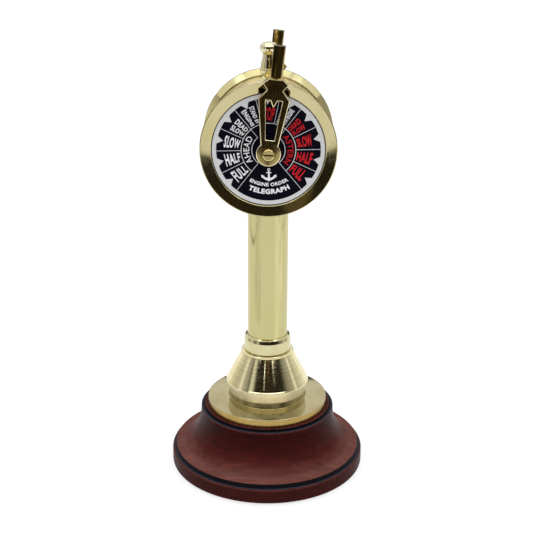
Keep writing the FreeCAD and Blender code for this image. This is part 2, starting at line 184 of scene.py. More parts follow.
def radius_and_place(tree, axis):
    """Distance from that axis, and place along it, in millimetres."""
    split = tree.nodes.new("ShaderNodeSeparateXYZ")
    tree.links.new(radial_coords(tree, axis), split.inputs[0])
    return split.outputs["X"], split.outputs["Z"]


def edge_lines(tree, position, edges, core, reach, peak):
    """Peak within core millimetres of any of the edges, falling to 0 at reach."""
    lines = None
    for edge in edges:
        gap = maths(tree, "ABSOLUTE", maths(tree, "SUBTRACT", position, edge))
        line = spread(tree, gap, core, reach, peak, 0.0)
        lines = line if lines is None else maths(tree, "MAXIMUM", lines, line)
    return lines


def brass(name, colour, toned, roughness, axis=None, marks=0.0, waviness=0.02):
    """Brass with toned patches, uneven polish and, on a turned piece, the marks of the tool."""
    material, tree, shader = new_material(name)
    coords = object_coords(tree)
    patches = noise(tree, coords, 0.06, 4.0, 0.6)
    tree.links.new(mixed(tree, spread(tree, patches, 0.45, 0.75, 0.0, 0.75), colour, toned),
              shader.inputs["Base Color"])
    smear = noise(tree, coords, 0.25, 5.0, 0.65)
    tree.links.new(spread(tree, smear, 0.3, 0.75, roughness * 0.7, roughness * 1.5),
              shader.inputs["Roughness"])
    shader.inputs["Metallic"].default_value = 1.0
    bump(tree, shader, noise(tree, coords, 0.05, 1.0), waviness)
    if axis:
        fine = noise(tree, radial_coords(tree, axis), 1.1, 3.0, 0.75)
        bump(tree, shader, fine, marks)
        # Darker where the turning marks are low, more so on the more deeply marked pieces.
        darker_in_mark_lows = spread(tree, fine, 0.38, 0.62, 1 - min(0.25, 20 * marks), 1.0)
        clean = shader.inputs["Base Color"].links[0].from_socket
        tree.links.new(mixed(tree, 1.0, clean, darker_in_mark_lows, "MULTIPLY"), shader.inputs["Base Color"])
    return material


def slotted_brass(name):
    """Golden brass of the lever screws, dark brown down in the slot."""
    material = brass(name, (0.78, 0.62, 0.27), (0.62, 0.45, 0.18), 0.2, waviness=0.05)
    tree = material.node_tree
    shader = tree.nodes["Principled BSDF"]
    low, high = mm_box("front_lever_screw")
    head_r, head_face = (high.x - low.x) / 2, max(abs(low.y), abs(high.y))
    radius, along = radius_and_place(tree, "y")
    out = maths(tree, "ABSOLUTE", along)
    sunk = spread(tree, out, head_face - 0.7, head_face - 0.35, 1.0, 0.0)
    within = spread(tree, radius, head_r - 0.5, head_r - 0.3, 1.0, 0.0)
    polished = shader.inputs["Base Color"].links[0].from_socket
    in_slot = maths(tree, "MULTIPLY", sunk, within)
    tree.links.new(mixed(tree, in_slot, polished, (0.1, 0.05, 0.015)), shader.inputs["Base Color"])
    return material


def mahogany(name):
    """Stained hardwood: long grain along X, pores, colour by height with a painted sheen low on the cove and
    painted shade towards the top, and worn lighter edges.
    """
    material, tree, shader = new_material(name)
    grain = noise(tree, object_coords(tree, (0.018, 0.35, 0.35)), 1.0, 6.0, 0.6)
    clouds = noise(tree, object_coords(tree), 0.035, 3.0, 0.55)
    place = radius_and_place(tree, "z")[1]
    low, high = mm_box("wood_base")
    height = spread(tree, place, low.z, high.z, 0.0, 1.0)
    # Colour by height: the pale pinkish band just above the lower groove is a painted sheen, and the darkening
    # towards the top is painted shade.
    stain_sheen_and_shade = ramp(tree, height, [(0.22, (0.034, 0.006, 0.005)), (0.29, (0.19, 0.078, 0.068)),
                                        (0.37, (0.115, 0.034, 0.026)), (0.48, (0.065, 0.0105, 0.008)),
                                        (0.65, (0.036, 0.0045, 0.0038)), (0.85, (0.024, 0.0023, 0.0022))])
    streaks = ramp(tree, grain, [(0.25, 0.62), (0.5, 0.95), (0.75, (1.45, 1.3, 1.1))])
    stain_sheen_and_shade = mixed(tree, 1.0, stain_sheen_and_shade, streaks, "MULTIPLY")
    clouded = spread(tree, clouds, 0.4, 0.7, 0.0, 0.35)
    stain_sheen_and_shade = mixed(tree, clouded, stain_sheen_and_shade, (0.03, 0.0035, 0.003))
    frayed = noise(tree, object_coords(tree), 0.4, 4.0, 0.7)
    edges = (low.z + 9.1, low.z + 12.5, high.z - 2.4, high.z - 0.2)
    wear_and_sheen = edge_lines(tree, place, edges, 0.15, 0.7, 1.0)
    wear_and_sheen = maths(tree, "MULTIPLY", wear_and_sheen, spread(tree, frayed, 0.35, 0.6, 0.1, 0.6))
    colour = mixed(tree, wear_and_sheen, stain_sheen_and_shade, (0.13, 0.034, 0.022))
    tree.links.new(colour, shader.inputs["Base Color"])
    tree.links.new(spread(tree, clouds, 0.3, 0.7, 0.33, 0.45), shader.inputs["Roughness"])
    shader.inputs["Specular IOR Level"].default_value = 0.035
    pores = noise(tree, object_coords(tree, (0.12, 1.6, 1.6)), 1.0, 2.0, 0.6)
    bump(tree, shader, spread(tree, pores, 0.52, 0.7, 0.0, 1.0), 0.03)
    return material


def groove_paint(name):
    """Black paint brushed into the grooves of the base, with a painted bluish sheen along their outer edges."""
    material, tree, shader = new_material(name)
    coords = object_coords(tree)
    streaks = noise(tree, coords, 0.7, 4.0, 0.7)
    black = ramp(tree, streaks, [(0.3, (0.0012, 0.0012, 0.0025)), (0.7, (0.004, 0.004, 0.007))])
    radius = radius_and_place(tree, "z")[0]
    wall = radius_of("wood_base")
    # Painted sheen: a bluish band along each groove's outer ledge stands in for the reflected sky.
    wear_and_sheen = edge_lines(tree, radius, (wall - 1.3, wall - 20.5), 0.5, 0.8, 0.9)
    tree.links.new(mixed(tree, wear_and_sheen, black, (0.03, 0.032, 0.052)), shader.inputs["Base Color"])
    tree.links.new(spread(tree, streaks, 0.3, 0.7, 0.3, 0.45), shader.inputs["Roughness"])
    shader.inputs["Specular IOR Level"].default_value = 0.05
    bump(tree, shader, streaks, 0.02)
    return material


def enamel(name, colour, fleck, roughness=0.4, metallic=0.0, gloss=0.5):
    """Printed enamel: nearly even colour, with the fine unevenness of ink on metal."""
    material, tree, shader = new_material(name)
    coords = object_coords(tree)
    grit = noise(tree, coords, 3.0, 3.0, 0.7)
    tree.links.new(mixed(tree, spread(tree, grit, 0.35, 0.7, 0.0, 1.0), colour, fleck),
              shader.inputs["Base Color"])
    tree.links.new(spread(tree, grit, 0.3, 0.7, roughness * 0.85, roughness * 1.2),
              shader.inputs["Roughness"])
    shader.inputs["Metallic"].default_value = metallic
    shader.inputs["Specular IOR Level"].default_value = gloss
    bump(tree, shader, grit, 0.006)
    return material


def steel(name, colour=(0.5, 0.5, 0.51), roughness=0.28):
    material, tree, shader = new_material(name)
    coords = object_coords(tree, (1, 1, 0.15))
    scratches = noise(tree, coords, 2.0, 4.0, 0.7)
    darker = tuple(c * 0.8 for c in colour)
    tree.links.new(mixed(tree, scratches, colour, darker), shader.inputs["Base Color"])
    tree.links.new(spread(tree, scratches, 0.3, 0.7, roughness * 0.8, roughness * 1.3),
              shader.inputs["Roughness"])
    shader.inputs["Metallic"].default_value = 1.0
    bump(tree, shader, scratches, 0.01)
    return material


def felt(name):
    material, tree, shader = new_material(name)
    fibres = noise(tree, object_coords(tree), 1.8, 6.0, 0.8)
    tree.links.new(ramp(tree, fibres, [(0.3, (0.012, 0.045, 0.022)), (0.7, (0.035, 0.1, 0.055))]),
              shader.inputs["Base Color"])
    shader.inputs["Roughness"].default_value = 0.95
    shader.inputs["Sheen Weight"].default_value = 0.4
    bump(tree, shader, fibres, 0.25)
    return material


PALE = (0.515, 0.475, 0.235)
PALE_TONED = (0.48, 0.415, 0.18)

MATERIALS = {
    "column": brass("column_brass", (0.63, 0.585, 0.345), (0.56, 0.5, 0.28), 0.1, "z", 0.0015),
    "tube": brass("tube_brass", PALE, (0.5, 0.46, 0.2), 0.07, waviness=0.06),
    "cone": brass("cone_brass", (0.9, 0.82, 0.5), (0.8, 0.66, 0.34), 0.06, "z", 0.015),
    "foot": brass("foot_brass", (0.48, 0.42, 0.235), (0.38, 0.29, 0.13), 0.05, "z", 0.004),
    "satin": brass("satin_brass", (0.86, 0.81, 0.65), (0.77, 0.7, 0.5), 0.4, "z", 0.004),
    "rim": brass("rim_brass", (0.44, 0.31, 0.1), (0.38, 0.25, 0.07), 0.25, "z", 0.004),
    "neck": brass("neck_brass", (0.5, 0.43, 0.24), (0.42, 0.34, 0.17), 0.3, "z", 0.006),
    "drum": brass("drum_brass", (0.57, 0.5, 0.28), PALE_TONED, 0.06, "y", 0.002),
    "turned": brass("turned_brass", (0.64, 0.58, 0.31), (0.56, 0.46, 0.2), 0.09, "y", 0.003),
    "finial": brass("finial_brass", (0.7, 0.65, 0.42), (0.66, 0.54, 0.26), 0.05, "z", 0.001),
    "shell": brass("shell_brass", (0.6, 0.5, 0.26), (0.5, 0.4, 0.18), 0.32, "y", 0.003),
    # The levers' brass is toned darker than the rest, partly as aged brass and partly as painted shade of the dark
    # room that their flat faces reflect.
    "lever_brass": brass("lever_brass", (0.44, 0.34, 0.13), (0.32, 0.23, 0.08), 0.09, waviness=0.03),
    # A brighter copy of the levers' brass: a painted highlight on their chamfers.
    "lever_highlight_edge": brass("lever_highlight_brass", (0.86, 0.77, 0.5), (0.74, 0.62, 0.34), 0.16),
    "screw": slotted_brass("screw_brass"),
    "sawn": brass("sawn_brass", (0.13, 0.105, 0.06), (0.09, 0.07, 0.04), 0.55),
    "mahogany": mahogany("mahogany"),
    "groove": groove_paint("groove_paint"),
    "steel": steel("bright_steel"),
    "gong_plate": steel("nickel_plate", (0.66, 0.65, 0.62), 0.12),
    "felt": felt("green_felt"),
    "dial_black": enamel("enamel_black", (0.002, 0.002, 0.006), (0.004, 0.004, 0.009), 0.35, gloss=0.02),
    "dial_silver": enamel("satin_silver", (0.57, 0.57, 0.585), (0.67, 0.67, 0.685), 0.42, 0.5),
    "dial_white": enamel("enamel_white", (0.74, 0.74, 0.76), (0.62, 0.62, 0.65), gloss=0.2),
    "dial_red": enamel("enamel_red", (0.52, 0.006, 0.01), (0.4, 0.003, 0.008), gloss=0.15),
}
SLOT_MATERIALS = {"polished_brass": "column"}


# ------------------------------------ building pieces

def linked(name, data):
    """New object with that data, in the scene."""
    made = bpy.data.objects.new(name, data)
    bpy.context.scene.collection.objects.link(made)
    return made


def make_object(name, mesh, *materials):
    piece = linked(name, mesh)
    for material in materials:
        mesh.materials.append(MATERIALS[material])
    return piece


def settle(piece, body, replaces=()):
    """Put a finished piece on its body, and hide the CAD nodes that it stands for."""
    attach(piece, body)
    if replaces:
        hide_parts(*replaces)
    return piece


def smooth_shaded(piece, sharp=32):
    """Smooth shading that keeps flats flat and edges sharper than this many degrees sharp."""
    mesh = piece.data
    mesh.polygons.foreach_set("use_smooth", [True] * len(mesh.polygons))
    mesh.set_sharp_from_angle(angle=math.radians(sharp))
    weighted = piece.modifiers.new("weighted", "WEIGHTED_NORMAL")
    weighted.keep_sharp = True
    return piece


def mesh_of(bm, name):
    """Finish a bmesh drawn in millimetres as a mesh in metres."""
    bmesh.ops.recalc_face_normals(bm, faces=bm.faces)
    bmesh.ops.scale(bm, vec=(MM, MM, MM), verts=bm.verts)
    mesh = bpy.data.meshes.new(name)
    bm.to_mesh(mesh)
    bm.free()
    return mesh


def rounded(corners, steps=5):
    """Closed outline with a fillet at each corner that states a radius, as (r, z, radius)."""
    points = []
    for i, corner in enumerate(corners):
        here = Vector(corner[:2])
        if len(corner) == 2:
            points.append(here)
            continue
        before = (Vector(corners[i - 1][:2]) - here).normalized()
        after = (Vector(corners[(i + 1) % len(corners)][:2]) - here).normalized()
        half = before.angle(after) / 2
        centre = here + (before + after).normalized() * corner[2] / math.sin(half)
        start = here + before * corner[2] / math.tan(half) - centre
        end = here + after * corner[2] / math.tan(half) - centre
        turn = math.pi - 2 * half
        for k in range(steps + 1):
            share = k / steps
            points.append(centre + (start * math.sin((1 - share) * turn) + end * math.sin(share * turn))
                          / math.sin(turn))
    return points


def curve_through(points, steps=6):
    """Catmull-Rom curve through (r, z) points, its ends included."""
    knots = [Vector(points[0])] + [Vector(p) for p in points] + [Vector(points[-1])]
    curve = []
    for a, b, c, d in zip(knots, knots[1:], knots[2:], knots[3:]):
        for k in range(steps):
            t = k / steps
            curve.append(0.5 * (2 * b + (c - a) * t + (2 * a - 5 * b + 4 * c - d) * t * t
                                + (3 * b - a - 3 * c + d) * t ** 3))
    return curve + [knots[-1]]


def turned_bmesh(outline):
    """Solid of revolution about Z from a closed (r, z) outline. Points at r 0 are poles."""
    bm = bmesh.new()
    rings = []
    for r, z in outline:
        if r < 1e-6:
            rings.append([bm.verts.new((0, 0, z))] * ROUND)
            continue
        angles = [2 * math.pi * k / ROUND for k in range(ROUND)]
        rings.append([bm.verts.new((r * math.cos(a), r * math.sin(a), z)) for a in angles])
    for low, high in zip(rings, rings[1:] + rings[:1]):
        if low[0] is low[1] and high[0] is high[1]:
            continue
        for k in range(ROUND):
            following = (k + 1) % ROUND
            corners = [low[k], low[following], high[following], high[k]]
            bm.faces.new(list(dict.fromkeys(corners)))
    return bm


def on_shaft(bm, side):
    """Turn a piece made about Z so that its Z runs out of the drum's front or rear."""
    turn = Matrix.Translation((0, 0, AXIS_Z)) @ Matrix.Rotation(math.radians(90 * side), 4, "X")
    bmesh.ops.transform(bm, matrix=turn, verts=bm.verts)
    return bm


def turned_piece(name, outline, side, *materials):
    """Turned piece about the column, or about the lever shaft where a side is given."""
    bm = turned_bmesh(outline)
    if side:
        on_shaft(bm, side)
    return smooth_shaded(make_object(name, mesh_of(bm, name), *materials))


def paint(piece, chosen, slot=1):
    """Give another of its materials to the faces that are chosen by their radius and height."""
    for face in piece.data.polygons:
        if chosen(face.center.to_2d().length / MM, face.center.z / MM):
            face.material_index = slot


# ------------------------------------ base and column

def wood_base():
    low, high = mm_box("wood_base")
    wall = radius_of("wood_base")
    foot, top = low.z, high.z
    plinth_top, bore = foot + 9.4, 12.0
    cove_foot, cove_head = (wall - 2.7, foot + 12.3), (wall - 19.9, top - 2.3)
    ledge = top - 1.8
    top_r = wall - 22.4
    angles = [math.pi / 2 * k / 28 for k in range(29)]
    cove = [Vector((cove_foot[0] - (cove_foot[0] - cove_head[0]) * math.sin(a),
                    cove_head[1] - (cove_head[1] - cove_foot[1]) * math.cos(a))) for a in angles]
    below = rounded([(bore, foot), (wall, foot, 0.9), (wall - 0.1, plinth_top, 0.9),
                     (wall - 2.2, plinth_top + 0.1, 0.8), (wall - 2.4, cove_foot[1] - 0.1, 0.25)])[1:]
    above = rounded([cove_head, (cove_head[0] - 0.1, ledge, 0.3), (top_r + 0.2, ledge, 0.3),
                     (top_r, top, 0.5), (bore, top)])[1:]
    bm = turned_bmesh([Vector((bore, foot))] + below + cove + above)
    piece = make_object("wood_base_turning", mesh_of(bm, "wood_base_turning"), "mahogany", "groove")
    paint(piece, lambda r, z: plinth_top - 0.05 < z < cove_foot[1] - 0.05 and r < wall - 0.9)
    paint(piece, lambda r, z: ledge - 0.2 < z < top - 0.6 and r > top_r - 0.1)
    return settle(smooth_shaded(piece), "root", ["wood_base"])


def foot_flange():
    foot, reach = mm_box("foot_flange")[0].z, radius_of("foot_flange")
    rim_top, neck_foot, neck_top = foot + 4.9, foot + 5.8, foot + 10.0
    neck, bore = 25.6, 4.0
    outline = rounded([(bore, foot), (reach, foot, 0.3), (reach, rim_top, 0.45), (neck, neck_foot, 0.2),
                       (neck, neck_top, 0.15), (bore, neck_top)])
    piece = turned_piece("foot_flange_turning", outline, None, "foot", "rim", "neck")
    paint(piece, lambda r, z: r > reach - 0.2 and z < rim_top - 0.4)
    paint(piece, lambda r, z: r < neck + 0.1 and z > neck_foot, 2)
    return settle(piece, "root", ["foot_flange"])


def pedestal_cone():
    low, high = mm_box("pedestal_cone")
    reach = radius_of("pedestal_cone")
    band_top, cone_top = (reach, low.z + 7.0), (reach - 10.05, high.z - 1.8)
    flare, bore = (reach - 0.6, band_top[1] + 1.0), 13.0
    top_r, lip_foot = cone_top
    outline = rounded([(bore, low.z), (reach - 1.5, low.z, 0.2), (*band_top, 1.0), (*flare, 1.0),
                       cone_top, (top_r - 0.5, lip_foot + 0.1), (top_r - 0.05, lip_foot + 0.5, 0.2),
                       (top_r - 0.1, high.z, 0.7), (bore, high.z)])
    piece = turned_piece("pedestal_cone_turning", outline, None, "cone", "satin")
    paint(piece, lambda r, z: r > reach - 2 and z < band_top[1] - 0.55)
    return settle(piece, "root", ["pedestal_cone"])


def column_collar():
    low, high = mm_box("column_collar")
    reach = radius_of("column_collar")
    bore = radius_of("column_tube")
    outline = rounded([(bore, low.z), (reach - 0.1, low.z, 0.2), (reach, high.z - 3.0, 1.5),
                       (reach - 0.75, high.z - 0.7, 0.5), (bore + 0.5, high.z, 0.2),
                       (bore, high.z - 0.3)], 7)
    return settle(turned_piece("column_collar_turning", outline, None, "column"), "root",
                  ["column_collar"])


def column_tube():
    low, high = mm_box("column_tube")
    reach = radius_of("column_tube")
    inner = reach - 1.2
    outline = rounded([(inner, low.z), (reach, low.z, 0.2), (reach, high.z, 0.2), (inner, high.z)])
    return settle(turned_piece("column_tube_drawn", outline, None, "tube"), "root",
                  ["column_tube"])


# ------------------------------------ drum

def drum_shell():
    reach, end = radius_of("drum_shell"), mm_box("drum_shell")[1].y
    outline = rounded([(reach - 1.0, -end), (reach, -end), (reach, end), (reach - 1.0, end)])
    return settle(turned_piece("drum_shell_rolled", outline, FRONT, "shell"), "root",
                  ["drum_shell"])


def bezel(side):
    name = "front_bezel" if side == FRONT else "rear_bezel"
    low, high = mm_box(name)
    reach = radius_of(name)
    back, front = sorted((abs(low.y), abs(high.y)))
    inner, shell, seat = reach - 7.0, radius_of("drum_shell"), radius_of("front_dial")
    shell_end = mm_box("drum_shell")[1].y
    dial_face = shell_end + 0.8
    outline = rounded([(inner, dial_face), (inner, front - 0.8, 0.7), (reach, front, 0.5),
                       (reach, back + 2.7, 0.4), (shell + 0.7, back - 0.2, 0.1), (shell, back - 0.2),
                       (shell, shell_end), (seat, shell_end), (seat, dial_face)])
    piece = turned_piece(name + "_turning", outline, side, "drum", "turned")
    for face in piece.data.polygons:
        if abs(face.center.y) / MM < back + 2.6:
            face.material_index = 1
    return settle(piece, "root", [name])


def finial():
    top = mm_box("finial")[1].z
    foot = rounded([(0, top - 24.6), (5.4, top - 24.6), (5.4, top - 23.0, 0.4), (4.25, top - 22.9, 0.1),
                    (4.25, top - 20.4)])
    flare = curve_through([(4.25, top - 20.4), (4.5, top - 19.9), (5.0, top - 19.2), (5.3, top - 18.4)], 4)
    groove = rounded([(5.3, top - 18.4), (5.3, top - 16.25, 0.25), (4.9, top - 16.1, 0.08),
                      (4.9, top - 15.7, 0.08), (5.05, top - 15.5, 0.15), (5.05, top - 15.2)])[1:]
    body = curve_through([(5.05, top - 15.2), (4.6, top - 13.1), (4.15, top - 10.9), (3.7, top - 8.8),
                          (3.5, top - 7.4)])
    ball = curve_through([(3.5, top - 7.4), (3.85, top - 7.0), (4.75, top - 5.8), (5.25, top - 3.8),
                          (4.9, top - 1.9), (3.8, top - 0.75), (2.1, top - 0.2), (0, top)])
    outline = foot + flare[1:] + groove + body[1:] + ball[1:]
    piece = turned_piece("finial_turning", outline, None, "finial")
    return settle(piece, "root", ["finial"])


# ------------------------------------ dials

SECTORS = 14
PITCH = 360 / SECTORS
PRINT_TURN = 1.15        # the print sits this many degrees off upright
FIELD_R = 31.4
NOTCH_R = 27.7
NOTCH_HALF = 4.4
ARC_R = 16.4
HUB_ARC_R = 10.0
HOLE_R = 4.6
ENAMEL_T = 0.03
# Painted shadow: a dark ring under the bezel's lip.
LIP_SHADOW_LINE = (33.95, 34.42)          # inner and outer radius
ONE_LINE = (8.3, 17.6, 27.0)        # a word's half height in degrees, and the radii of its ends
NARROW_LINE = (3.4, 17.3, 28.3)     # the same for each of two lines, beside the stop sector
PAIRED_LINE = (4.0, 17.3, 26.2)     # and elsewhere
LINE_SHIFT = 5.2                    # degrees between the sector's middle and each of two lines
BAND_MIDDLE = 3.45                  # the bands' words, in sectors from the stop sector's middle
BAND_WORD = (11.5, 15.1)            # their radii
AHEAD_ORDERS = [["STAND BY", "ENGINE"], ["DEAD", "SLOW"], ["SLOW"], ["HALF"], ["FULL"]]
ASTERN_ORDERS = [["FINISHED", "WITH ENGINE"], ["DEAD", "SLOW"], ["SLOW"], ["HALF"], ["FULL"]]


def polar(r, degrees):
    angle = math.radians(degrees)
    return r * math.cos(angle), r * math.sin(angle)


def prism(bm, outline, low, high):
    """Closed prism on a flat outline, its faces joined in one loop."""
    base = [bm.verts.new((x, y, low)) for x, y in outline]
    top = [bm.verts.new((x, y, high)) for x, y in outline]
    bm.faces.new(base)
    bm.faces.new(top)
    for k in range(len(outline)):
        following = (k + 1) % len(outline)
        bm.faces.new((base[k], base[following], top[following], top[k]))


def band(bm, inner, outer, low, high, closed=True):
    """Flat band between two rows of points."""
    rows = [[bm.verts.new((x, y, z)) for x, y in row] for row in (inner, outer) for z in (low, high)]
    count = len(inner)
    for k in range(count if closed else count - 1):
        n = (k + 1) % count
        for a, b in ((0, 1), (1, 3), (3, 2), (2, 0)):
            bm.faces.new((rows[a][k], rows[a][n], rows[b][n], rows[b][k]))
    if not closed:
        for k in (0, count - 1):
            bm.faces.new((rows[0][k], rows[1][k], rows[3][k], rows[2][k]))


def dial_piece(name, bm, level, side, material):
    """Lay a flat piece, drawn as seen, on that side's dial."""
    dial_face = -mm_box("front_dial")[0].y
    bmesh.ops.translate(bm, vec=(0, 0, dial_face + level), verts=bm.verts)
    if side == REAR:
        bmesh.ops.rotate(bm, cent=(0, 0, 0), matrix=Matrix.Rotation(math.pi, 3, "Z"), verts=bm.verts)
    on_shaft(bm, side)
    label = ("front_" if side == FRONT else "rear_") + name
    return settle(make_object(label, mesh_of(bm, label), material), "root")


def field_radius(offset):
    """Outer radius of the black field at this many degrees from the middle of the stop sector."""
    nearest = round(offset / PITCH)
    if abs(nearest) > 5:
        return FIELD_R
    gap = abs(offset - nearest * PITCH)
    if gap > NOTCH_HALF:
        return FIELD_R
    return NOTCH_R + (FIELD_R - NOTCH_R) * gap / NOTCH_HALF


def black_field(side):
    """Black enamel, with a pointed silver notch at the middle of each order."""
    offsets = set(range(-180, 180, 3))
    for k in range(-5, 6):
        offsets |= {k * PITCH, k * PITCH - NOTCH_HALF, k * PITCH + NOTCH_HALF}
    bm = bmesh.new()
    turns = sorted(offsets)
    outer = [polar(field_radius(t), 90 + PRINT_TURN * side + t) for t in turns]
    inner = [polar(HOLE_R, 90 + PRINT_TURN * side + t) for t in turns]
    band(bm, inner, outer, 0, ENAMEL_T)
    return dial_piece("dial_field", bm, 0, side, "dial_black")


def ray(bm, r_low, r_high, degrees, width, low, high):
    across = Vector(polar(width / 2, degrees + 90))
    ends = [Vector(polar(r, degrees)) for r in (r_low, r_high)]
    prism(bm, [ends[0] - across, ends[1] - across, ends[1] + across, ends[0] + across], low, high)


def arc(bm, r, start, end, width, low, high):
    steps = max(2, round(abs(end - start) / 3))
    turns = [start + (end - start) * k / steps for k in range(steps + 1)]
    inner, outer = ([polar(r + offset, t) for t in turns] for offset in (-width / 2, width / 2))
    band(bm, inner, outer, low, high, False)


def dial_lines(side):
    """Lines between the orders, and the arcs round the ahead and astern bands."""
    bm = bmesh.new()
    middle = 90 + PRINT_TURN * side
    thin, thick, level = 0.32, 0.45, 0.02
    for k in range(-6, 6):
        turn = middle + (k + 0.5) * PITCH
        deep = k in (-6, -2, 1, 5)
        ray(bm, HUB_ARC_R + 0.2 if deep else ARC_R + 0.2, FIELD_R - 0.1, turn, thin, 0, level)
    arc(bm, ARC_R, middle - 5.5 * PITCH, middle + 5.5 * PITCH, thick, 0, level + 0.003)
    for start, end in ((1.5, 5.5), (-5.5, -1.5)):
        arc(bm, HUB_ARC_R, middle + start * PITCH, middle + end * PITCH, thick, 0, level + 0.003)
    return dial_piece("dial_lines", bm, ENAMEL_T, side, "dial_silver")


def letters(text, weight=0.03):
    """Bold lettering as a bmesh whose width and height run from 0 to 1 and whose thickness is 1."""
    curve = bpy.data.curves.new("lettering", "FONT")
    curve.body = text
    curve.offset = weight
    curve.extrude = 0.5
    curve.resolution_u = 3
    curve.space_character = 1.08
    carrier = linked("lettering", curve)
    bpy.context.view_layer.update()
    mesh = bpy.data.meshes.new_from_object(carrier.evaluated_get(bpy.context.evaluated_depsgraph_get()))
    bm = bmesh.new()
    bm.from_mesh(mesh)
    bpy.data.objects.remove(carrier)
    bpy.data.curves.remove(curve)
    bpy.data.meshes.remove(mesh)
    lows = [min(v.co[i] for v in bm.verts) for i in range(3)]
    highs = [max(v.co[i] for v in bm.verts) for i in range(3)]
    for v in bm.verts:
        v.co = Vector([(v.co[i] - lows[i]) / (highs[i] - lows[i]) for i in range(3)])
    return bm


def bent(text, place, weight=0.03):
    """Lettering whose points (along, up) from 0 to 1 go where place says."""
    bm = letters(text, weight)
    for v in bm.verts:
        x, y = place(v.co.x, v.co.y)
        v.co = Vector((x, y, v.co.z * 0.02))
    return bm


def joined(parts):
    """One bmesh of several, which are freed."""
    whole = bmesh.new()
    for part in parts:
        mesh = bpy.data.meshes.new("part")
        part.to_mesh(mesh)
        part.free()
        whole.from_mesh(mesh)
        bpy.data.meshes.remove(mesh)
    return whole


def spoke_word(text, centre, half, r_low, r_high, leftward):
    """A word along a spoke, as tall as its sector allows, so that it is larger towards the rim."""
    def place(along, up):
        if leftward:
            return polar(r_high + (r_low - r_high) * along, centre - half * (2 * up - 1))
        return polar(r_low + (r_high - r_low) * along, centre + half * (2 * up - 1))
    return bent(text, place)


def order_words(orders, direction, side):
    """Words of one band of orders. Direction is 1 left of the middle, as seen, and -1 right of it."""
    parts = []
    for k, lines in enumerate(orders, 1):
        centre = 90 + PRINT_TURN * side + direction * k * PITCH
        if len(lines) == 1:
            parts.append(spoke_word(lines[0], centre, *ONE_LINE, direction == 1))
            continue
        extent = NARROW_LINE if k == 1 else PAIRED_LINE
        for line, shift in zip(lines, (-1, 1)):
            parts.append(spoke_word(line, centre + direction * shift * LINE_SHIFT, *extent, direction == 1))
    return parts


def stop_word(side):
    centre = 90 + PRINT_TURN * side
    return [bent("STOP", lambda along, up: polar(17.8 + 8.2 * up, centre + 10.2 * (1 - 2 * along)))]


def band_word(text, middle, half):
    """A word along an arc, read clockwise with its letters' feet towards the shaft."""
    r_low, r_high = BAND_WORD

    def place(along, up):
        return polar(r_low + (r_high - r_low) * up, middle + half * (1 - 2 * along))
    return [bent(text, place, 0.012)]


def title_word(text, half, r, height, side, weight):
    """A word along the bottom of the dial, with its letters' heads towards the shaft."""
    middle = 270 + PRINT_TURN * side

    def place(along, up):
        return polar(r - height * up, middle + half * (2 * along - 1))
    return [bent(text, place, weight)]


def lip_shadow_line(side):
    """Dark line where the dial meets the bezel's lip: painted shadow of the gap under the lip."""
    bm = bmesh.new()
    turns = range(0, 360, 3)
    inner, outer = ([polar(r, t) for t in turns] for r in LIP_SHADOW_LINE)
    band(bm, inner, outer, 0, 0.02)
    return dial_piece("dial_lip_shadow_line", bm, 0.005, side, "dial_black")


def anchor(side):
    """Plain stocked anchor above the title."""
    bm = bmesh.new()
    ring_z, crown = -12.0, -19.3
    hoops = [[polar(r, t) for t in range(0, 360, 15)] for r in (0.45, 0.9)]
    band(bm, *([(x, ring_z + z) for x, z in hoop] for hoop in hoops), 0, 0.02)
    stock = [(0.35, ring_z - 0.85), (0.42, -13.6), (1.5, -13.6), (1.5, -14.25), (0.48, -14.25),
             (0.62, -17.1)]
    fluke = [(1.9, -16.85), (3.1, -16.1), (2.75, -15.75), (4.65, -15.1), (4.4, -17.1), (4.0, -16.75)]
    half = stock + fluke + [(2.9, -17.8), (1.4, -18.55), (0.6, -18.8)]
    prism(bm, half + [(0, crown)] + [(-x, z) for x, z in reversed(half)], 0, 0.02)
    bmesh.ops.rotate(bm, cent=(0, 0, 0), matrix=Matrix.Rotation(math.radians(PRINT_TURN * side), 3, "Z"),
                     verts=bm.verts)
    return dial_piece("dial_anchor", bm, ENAMEL_T, side, "dial_white")


def dial(side):
    """One dial. Ahead is left on the front one and right on the rear one: one shaft turns both levers."""
    middle = 90 + PRINT_TURN * side
    band_turn = side * BAND_MIDDLE * PITCH
    ahead, astern = order_words(AHEAD_ORDERS, side, side), order_words(ASTERN_ORDERS, -side, side)
    finished, astern = astern[:2], astern[2:]
    ahead += finished + band_word("AHEAD", middle + band_turn, 37)
    astern += stop_word(side) + band_word("ASTERN", middle - band_turn, 41)
    ahead += title_word("ENGINE ORDER", 32, 22.5, 2.3, side, 0.035)
    ahead += title_word("TELEGRAPH", 28, 27.3, 3.2, side, 0.045)
    black_field(side)
    dial_lines(side)
    dial_piece("dial_white_words", joined(ahead), ENAMEL_T, side, "dial_white")
    dial_piece("dial_red_words", joined(astern), ENAMEL_T, side, "dial_red")
    anchor(side)
    lip_shadow_line(side)


# ------------------------------------ levers

HUB_R = 7.4
PLATE_T = 3.0
GRIP_TOP = 63.9          # from the shaft
LEVER_HALF = [(5.25, 5.2), (9.2, 32.6), (4.7, 38.0), (7.5, 41.7), (3.45, 45.2), (3.45, 46.5)]
WINDOW = [(-2.5, 8.6), (2.5, 8.6), (4.8, 31.9), (2.2, 31.9), (0.35, 28.1), (-0.35, 28.1), (-2.2, 31.9),
          (-4.8, 31.9)]


def lever_middle():
    """Distance from the middle of the drum to the middle of a lever's thickness."""
    low, high = mm_box("front_lever")
    return round(-(low.y + high.y) / 2, 3)


def lever_rest_turn():
    """Turn of the levers at rest, read from where the shaft and the end of the front lever's grip stand."""
    points = [v.co for v in frame["nodes"]["front_lever"].data.vertices]
    top = max(p.z for p in points)
    grip = [p.x for p in points if p.z > top - 2 * MM]
    return math.atan2((min(grip) + max(grip)) / 2, top - AXIS_Z * MM - 1 * MM)


